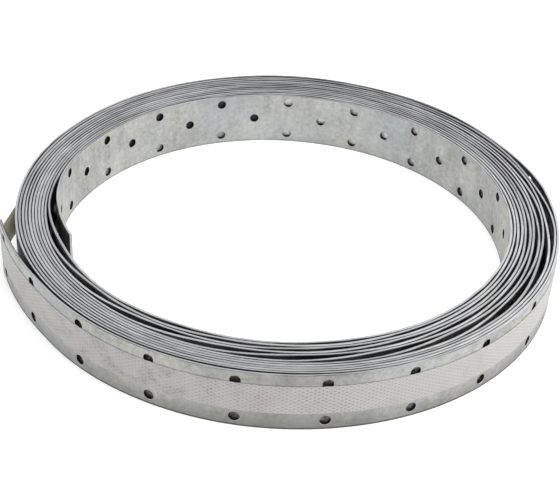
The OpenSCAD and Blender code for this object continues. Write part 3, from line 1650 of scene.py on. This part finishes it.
@dataclass
class BindingTape(Wound):
    """The tape that goes once round the coil and holds it shut."""

    low: float
    width: float
    bridge: float = 11.0
    glue: float = 0.05 * MM
    film: float = 0.17 * MM
    relief: float = 0.07 * MM
    hem: float = 0.8 * MM
    cell: tuple[float, float] = (3.4 * MM, 1.82 * MM)
    steps_per_cell: int = 4
    line_points: int = 900
    weld: float = 0.01 * MM
    clearance: float = 1 * MM
    ridge_power: float = 3.0

    def tree(self, route: Route, film: Material, glue: Material) -> bpy.types.NodeTree:
        """Builds the tree that embosses the tape and wraps it round the coil.

        Args:
            route: the group that draws the coil's line.
            film: the finish of its outer side.
            glue: the finish of its adhesive side.

        Returns:
            The tree.
        """
        build = self.started("woven_and_wrapped_tape")
        build.asks("Float", dict.fromkeys(("Tape Width", "Tape Low", "Film", "Relief", "Glue",
                                           "Start Turned"), 0.01))
        build.asks("Int", dict.fromkeys(("Cells Along", "Cells Across", "Steps Along",
                                         "Steps Across"), 1))
        width, film_size = build.given("Tape Width"), build.given("Film")

        line = route.placed(build, build.given("Start Turned"), build.given("Total Turned"),
                            self.line_points)
        tx, ty, _ = build.split(build.read("InputTangent"))
        out = build.given("Steel") / 2.0 + build.given("Glue")
        outwards = build.vector(ty * out * -1.0, tx * out, 0.0)
        face = build.through("SetPosition", line, Offset=outwards)
        ring = build.through("SetSplineCyclic", face, Cyclic=True)
        length = build.term(build.add("CurveLength", Curve=ring), "Length")

        block = build.add("MeshCube", Size=build.vector(length, film_size, width),
                          Vertices_X=build.given("Steps Along") + 1.0, Vertices_Y=2,
                          Vertices_Z=build.given("Steps Across") + 1.0)
        moved = build.vector(length / 2.0, film_size / 2.0, width / 2.0)
        placed = build.through("SetPosition", block.outputs["Mesh"], Offset=moved)
        endwise, outward, _ = build.split(build.read("InputNormal"))
        opened = build.through("DeleteGeometry", placed, {"domain": "FACE", "mode": "ONLY_FACE"},
                               Selection=endwise.maths("ABSOLUTE").maths("GREATER_THAN", 0.5))
        marked = build.stored(opened, BACKING, "FLOAT", "FACE", outward.maths("LESS_THAN", -0.5))

        x, y, z = build.split(build.read("InputPosition"))
        along = x / length * build.given("Cells Along")
        across = z / width * build.given("Cells Across")
        woven = build.stored(kept_flat(build, marked), WEAVE, "FLOAT_VECTOR", "POINT",
                             build.vector(along, across, 0.0))
        first, second = (raised(near, self.ridge_power) for near in leans(along, across))
        ridge = first.maths("MAXIMUM", second)
        outside = y.maths("GREATER_THAN", film_size / 2.0)
        hem = held(z.maths("MINIMUM", width - z) / self.hem, 0.0, 1.0)
        lifted = build.vector(0.0, ridge * build.given("Relief") * outside * hem, 0.0)
        embossed = build.through("SetPosition", woven, Offset=lifted)

        bent = wrapped(build, embossed, ring, length, build.given("Tape Low"))
        welded = build.through("MergeByDistance", bent, Distance=self.weld)
        build.leaves(dressed(build, welded, film, glue, BACKING, over=0.5))
        return build.tree

    def made(self, route: Route, film: Material, glue: Material) -> Thing:
        """Makes the wrapped tape.

        Args:
            route: the group that draws the coil's line.
            film: the finish of its outer side.
            glue: the finish of its adhesive side.

        Returns:
            The finished piece.
        """
        halfway = self.total - FULL_TURN / 2
        around = 2 * math.pi * (self.winding.radius(halfway, self.total) + self.clearance)
        along, across = round(around / self.cell[0]), round(self.width / self.cell[1])
        return grown(self.tree(route, film, glue), "woven_tape", {
            "Tape Width": self.width, "Tape Low": self.low, "Film": self.film,
            "Relief": self.relief, "Glue": self.glue,
            "Start Turned": self.total - FULL_TURN + self.bridge,
            "Cells Along": along, "Cells Across": across,
            "Steps Along": along * self.steps_per_cell,
            "Steps Across": across * self.steps_per_cell})


def looked_at(nodes: Nodes) -> Term:
    """Tells what the camera sees from what only lights the scene.

    Args:
        nodes: the tree to write in.

    Returns:
        1 where the camera looks straight, by a reflection or through glass, and 0 elsewhere.
    """
    rays = nodes.add("LightPath")
    seen = nodes.term(rays, "Is Camera Ray") + nodes.term(rays, "Is Glossy Ray")
    return held(seen + nodes.term(rays, "Is Transmission Ray"), 0.0, 1.0)


@dataclass(frozen=True)
class Lamp:
    """One soft square lamp, aimed at the coil."""

    name: str
    place: Point
    size: float
    power: float
    colour: Point = (1.0, 1.0, 1.0)

    def lit(self, aim: Vector) -> None:
        """Makes the lamp.

        Args:
            aim: what it points at.
        """
        data = bpy.data.lights.new(self.name, "AREA")
        data.shape, data.size = "SQUARE", self.size
        data.energy, data.color = self.power, self.colour
        turned = (aim - Vector(self.place)).to_track_quat("-Z", "Y").to_matrix().to_4x4()
        linked(self.name, data).matrix_world = Matrix.Translation(self.place) @ turned


@dataclass
class Stage:
    """The pale floor, the soft lamps and the camera."""

    centre: Vector
    distance: float = 0.6577
    elevation: float = 33.24
    roll: float = 3.42
    sensor: float = 36.0
    lens: float = 82.41
    shift: tuple[float, float] = (-0.00714, -0.0504)
    clip: Ramp = (0.01, 20.0)
    floor_reach: float = 6.0
    lamps: tuple[Lamp, ...] = (
        Lamp("overhead", (0.1, -0.1, 1.3), 1.2, 9.8),
        Lamp("right", (1.3, -0.45, 0.7), 1.2, 14.5, (1.0, 0.995, 0.98)),
        Lamp("left", (-1.3, -0.6, 0.8), 0.8, 5.2, (0.98, 0.99, 1.0)),
        Lamp("behind", (0.75, 1.1, 0.85), 0.5, 2.2))

    def camera(self) -> None:
        """Makes the camera."""
        data = bpy.data.cameras.new("camera")
        data.sensor_width, data.lens = self.sensor, self.lens
        data.shift_x, data.shift_y = self.shift
        data.clip_start, data.clip_end = self.clip
        lean = math.radians(self.elevation)
        back = Vector((0.0, -math.cos(lean), math.sin(lean)))
        right = Vector((1.0, 0.0, 0.0))
        up = back.cross(right)
        turn = Matrix.Rotation(math.radians(self.roll), 3, back)
        axes = Matrix((turn @ right, turn @ up, back)).transposed()
        camera = linked("camera", data)
        camera.matrix_world = Matrix.Translation(self.centre + back * self.distance) @ axes.to_4x4()
        bpy.context.scene.camera = camera

    def floor(self) -> None:
        """Makes the pale floor, which keeps the coil's shadow."""
        mesh, reach = bpy.data.meshes.new("floor"), self.floor_reach
        mesh.from_pydata([(-reach, -reach, 0.0), (reach, -reach, 0.0), (reach, reach, 0.0),
                          (-reach, reach, 0.0)], [], [(0, 1, 2, 3)])
        paper = Surface("white_paper")
        mesh.materials.append(paper.wears({
            "Base Color": (0.86, 0.86, 0.86, 1.0), "Roughness": 0.9, "Specular IOR Level": 0.1,
            "Emission Color": WHITE, "Emission Strength": looked_at(paper) * 0.30}))
        floor = linked("floor", mesh)

    def world(self) -> None:
        """Lights the scene evenly, with a white backdrop."""
        world = bpy.data.worlds.new("studio")
        world.use_nodes = True
        bpy.context.scene.world = world
        backdrop = world.node_tree.nodes["Background"]
        backdrop.inputs["Color"].default_value = WHITE
        strength = looked_at(Nodes(world.node_tree)) * 0.45 + 0.55
        feed(world.node_tree, strength, backdrop.inputs["Strength"])

    def made(self) -> None:
        """Makes the whole stage."""
        bpy.context.scene.view_settings.view_transform = "Standard"
        self.camera()
        self.floor()
        self.world()
        for lamp in self.lamps:
            lamp.lit(self.centre)


def footprint_middle(winding: Winding, total: float, reach: float) -> Vector:
    """Middle of the coil's footprint, seen from the line it is wound about.

    Args:
        winding: how the strap is wound.
        total: how far it turns in all.
        reach: how far outside the middle of the steel the footprint goes.

    Returns:
        The middle, at floor level.
    """
    places, steps, just_over_a_turn = [], 1500, 370
    for step in range(steps):
        turned = total - just_over_a_turn * step / steps
        bearing = math.radians(winding.inner_end_bearing - turned)
        radius = winding.radius(turned, total) + reach
        places.append((radius * math.cos(bearing), radius * math.sin(bearing)))
    xs, ys = zip(*places)
    return Vector(((min(xs) + max(xs)) / 2, (min(ys) + max(ys)) / 2, 0.0))


def reported(piece: Thing, node: str) -> None:
    """Joins a finished piece to the frame and logs it.

    Args:
        piece: the piece.
        node: the CAD node that it stands for.
    """
    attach(piece, "root")
    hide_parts(node)
    low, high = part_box(node)
    size = [max(axis) - min(axis) for axis in zip(*piece.bound_box)]
    piece.data.calc_loop_triangles()
    LOG.info("%s: %d triangles, %s mm against the solid's %s mm", piece.name,
             len(piece.data.loop_triangles), [round(value / MM, 2) for value in size],
             [round(value / MM, 2) for value in high - low])


def main() -> None:
    """Builds the stage, the strap and the tape, in that order."""
    logging.basicConfig(level=logging.INFO, format="%(name)s: %(message)s")
    hole = next(mount for mount in frame["record"]["mounts"] if mount["kind"] == "bore")
    low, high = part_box("strap")
    tape_low, tape_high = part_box("binding_tape")
    winding, punching = Winding(), Punching()
    section = StrapSection(width=high.z - low.z, thickness=hole["dims"]["length_mm"] * MM,
                           hole_radius=hole["dims"]["r_mm"] * MM, edge_inset=hole["pos_m"][2])
    total = punching.turned(winding)
    moved = (low + high) / 2 - footprint_middle(winding, total, section.thickness / 2)
    moved.z = 0.0
    LOG.info("%.2f m of strap in %.2f turns", punching.length, total / FULL_TURN)

    Stage(centre=moved + Vector((0.0, 0.0, section.width / 2))).made()
    route, wear, cover, net = Route(winding), Wear(), Cover(), ThreadNet()

    round_once = winding.length(total - FULL_TURN, total, total)
    turns = Turns(inner=winding.length(0.0, FULL_TURN, total), outer=punching.length - round_once,
                  round_once=round_once, width=section.width)
    strap = CoiledStrap(winding, total, moved, section, punching)
    finishes = (finish.material(wear, cover, turns) for finish in (ROLLED_ZINC, SHEARED_STEEL))
    reported(strap.made(route, *finishes), "strap")
    tape = BindingTape(winding, total, moved, tape_low.z, tape_high.z - tape_low.z)
    reported(tape.made(route, TAPE_FILM.material(net), TAPE_GLUE.material(net)),
             "binding_tape")


if __name__ == "__main__":
    main()
